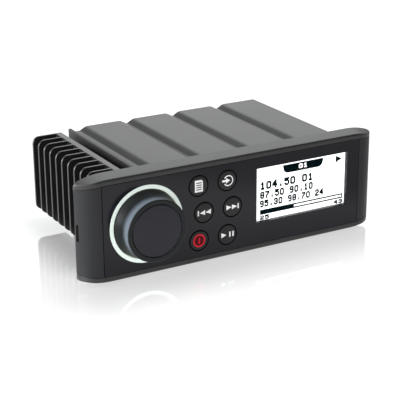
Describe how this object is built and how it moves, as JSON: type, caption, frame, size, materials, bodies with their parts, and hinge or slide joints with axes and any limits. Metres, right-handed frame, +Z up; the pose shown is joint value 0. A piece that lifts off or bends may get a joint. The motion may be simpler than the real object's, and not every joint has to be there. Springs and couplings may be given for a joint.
{
  "type": "marine stereo",
  "caption": "Flush-mount stereo head unit: wide bezel with turn-and-push knob, round keys and display, folded metal chassis with ribbed lid, finned heatsink, rear sockets.",
  "frame": {"origin": "middle of the bounding box, at the bottom of the bezel", "axes": "+X to the right seen from the front, the fascia faces -Y, +Z up"},
  "size_m": [0.165, 0.1106, 0.0533],
  "materials": {
    "front_housing": "satin moulded, dark grey black",
    "front_panel": "satin black",
    "panel_seal": "soft matt",
    "display_window": "clear, hard coated",
    "display_module": "lit panel behind the lens",
    "light_ring": "milky translucent, lit from behind",
    "ring_lamps": "clear resin",
    "knob_collar": "fine texture",
    "encoder_body": "bright plated",
    "encoder_rotor": "plain",
    "encoder_shaft": "turned",
    "knob_body": "soft satin",
    "knob_cap": "fine satin",
    "keys": "satin black with a light printed sign",
    "key_switches": "bright",
    "key_guide": "soft matt",
    "circuit_board": "green solder mask",
    "screws": "plated",
    "screw_covers": "satin moulded, dark grey black",
    "mounting_gasket": "closed foam",
    "chassis_tray": "satin dark coat",
    "chassis_lid": "satin grey coat",
    "heatsink": "black anodised",
    "rear_panel": "satin dark coat",
    "rear_brackets": "plated",
    "standoffs": "plated",
    "amplifier_chips": "moulded package",
    "chip_clamp": "spring strip",
    "filter_capacitors": "sleeved can",
    "power_choke": "enamelled winding on a ring core",
    "tuner_can": "tinned",
    "control_chip": "moulded package",
    "antenna_socket": "nickel plated",
    "phono_block": "moulded",
    "phono_sockets": "plated",
    "usb_socket": "bright",
    "loom_socket": "moulded",
    "loom_pins": "plated",
    "fuse_holder": "moulded",
    "blade_fuse": "clear tinted case",
    "ribbon_cable": "flat flexible lead",
    "ribbon_headers": "moulded"
  },
  "bodies": {
    "root": {"amplifier_chips": "amplifier_chips", "antenna_socket": "antenna_socket", "blade_fuse": "blade_fuse", "board_screws": "screws", "board_standoffs": "standoffs", "chassis_lid": "chassis_lid", "chassis_tray": "chassis_tray", "chip_clamp": "chip_clamp", "control_board": "circuit_board", "control_chip": "control_chip", "display_module": "display_module", "display_window": "display_window", "encoder_body": "encoder_body", "filter_capacitors": "filter_capacitors", "front_housing": "front_housing", "front_panel": "front_panel", "fuse_holder": "fuse_holder", "heatsink": "heatsink", "heatsink_screws": "screws", "housing_screws": "screws", "key_guide": "key_guide", "key_switches": "key_switches", "knob_collar": "knob_collar", "lid_screws": "screws", "light_ring": "light_ring", "loom_pins": "loom_pins", "loom_socket": "loom_socket", "main_board": "circuit_board", "mounting_gasket": "mounting_gasket", "panel_seal": "panel_seal", "phono_block": "phono_block", "phono_sockets": "phono_sockets", "power_choke": "power_choke", "rear_brackets": "rear_brackets", "rear_panel": "rear_panel", "rear_screws": "screws", "ribbon_cable": "ribbon_cable", "ribbon_headers": "ribbon_headers", "ring_lamps": "ring_lamps", "tuner_can": "tuner_can", "usb_socket": "usb_socket"},
    "rotor": {"encoder_rotor": "encoder_rotor"},
    "knob": {"encoder_shaft": "encoder_shaft", "knob_body": "knob_body", "knob_cap": "knob_cap"},
    "cover_left": {"screw_cover_left": "screw_covers"},
    "cover_right": {"screw_cover_right": "screw_covers"},
    "menu_key": {"menu_button": "keys"},
    "source_key": {"source_button": "keys"},
    "previous_key": {"previous_button": "keys"},
    "next_key": {"next_button": "keys"},
    "power_key": {"power_button": "keys"},
    "play_key": {"play_button": "keys"}
  },
  "joints": [
    {"name": "knob_spin", "type": "hinge", "parent": "root", "child": "rotor", "pos_m": [-0.0489, -0.04465, 0.02665], "axis": [0, 1, 0], "continuous": true},
    {"name": "knob_push", "type": "slide", "parent": "rotor", "child": "knob", "axis": [0, 1, 0], "range_m": [0, 0.0005], "stiffness_N_per_m": 2000, "springref_m": -0.0005},
    {"name": "menu_push", "type": "slide", "parent": "root", "child": "menu_key", "axis": [0, 1, 0], "range_m": [0, 0.0005], "stiffness_N_per_m": 800, "springref_m": -0.0005},
    {"name": "source_push", "type": "slide", "parent": "root", "child": "source_key", "axis": [0, 1, 0], "range_m": [0, 0.0005], "stiffness_N_per_m": 800, "springref_m": -0.0005},
    {"name": "previous_push", "type": "slide", "parent": "root", "child": "previous_key", "axis": [0, 1, 0], "range_m": [0, 0.0005], "stiffness_N_per_m": 800, "springref_m": -0.0005},
    {"name": "next_push", "type": "slide", "parent": "root", "child": "next_key", "axis": [0, 1, 0], "range_m": [0, 0.0005], "stiffness_N_per_m": 800, "springref_m": -0.0005},
    {"name": "power_push", "type": "slide", "parent": "root", "child": "power_key", "axis": [0, 1, 0], "range_m": [0, 0.0005], "stiffness_N_per_m": 800, "springref_m": -0.0005},
    {"name": "play_push", "type": "slide", "parent": "root", "child": "play_key", "axis": [0, 1, 0], "range_m": [0, 0.0005], "stiffness_N_per_m": 800, "springref_m": -0.0005},
    {"name": "cover_left_pull", "type": "slide", "parent": "root", "child": "cover_left", "axis": [0, -1, 0], "range_m": [0, 0.012]},
    {"name": "cover_right_pull", "type": "slide", "parent": "root", "child": "cover_right", "axis": [0, -1, 0], "range_m": [0, 0.012]}
  ]
}
